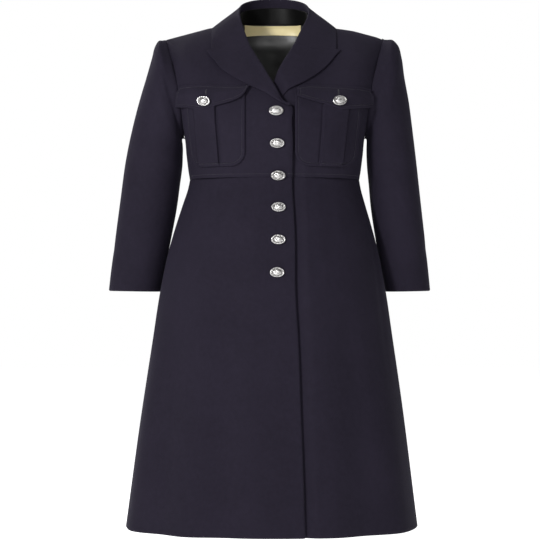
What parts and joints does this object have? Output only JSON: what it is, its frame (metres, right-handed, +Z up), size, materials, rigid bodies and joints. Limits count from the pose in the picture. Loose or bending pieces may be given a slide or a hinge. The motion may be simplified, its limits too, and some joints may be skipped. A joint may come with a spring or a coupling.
{
  "type": "military-style coat",
  "caption": "Knee-length single-breasted coat in dark cloth, filled out as if worn: peak lapels, flap chest pockets with box pleats, raised waist seam, flared skirt.",
  "frame": {"origin": "between the wearer's shoulders at the base of the neck, where the wearer holds the coat up", "axes": "+Z up towards the collar, -Y is the coat's front, +X towards the wearer's left"},
  "size_m": [0.5795, 0.3136, 0.9522],
  "materials": {
    "coat_cloth": "matte fine wool twill, very dark violet navy",
    "lining_satin": "black satin with soft highlights",
    "label_satin": "beige woven satin, bare",
    "button_metal": "cast silver-toned metal, domed, with a raised rim"
  },
  "bodies": {
    "root": {"bodice_front_right": "coat_cloth", "bodice_front_left": "coat_cloth", "bodice_back": "coat_cloth", "skirt_front_right": "coat_cloth", "skirt_front_left": "coat_cloth", "skirt_back": "coat_cloth", "sleeve_right": "coat_cloth", "sleeve_left": "coat_cloth", "lapel_right": "coat_cloth", "lapel_left": "coat_cloth", "collar": "coat_cloth", "collar_stand_lining": "lining_satin", "back_lining": "lining_satin", "neck_label": "label_satin", "pocket_right": "coat_cloth", "pocket_left": "coat_cloth", "pocket_flap_right": "coat_cloth", "pocket_flap_left": "coat_cloth", "button_front_1": "button_metal", "button_front_2": "button_metal", "button_front_3": "button_metal", "button_front_4": "button_metal", "button_front_5": "button_metal", "button_front_6": "button_metal", "button_pocket_right": "button_metal", "button_pocket_left": "button_metal"}
  },
  "joints": []
}
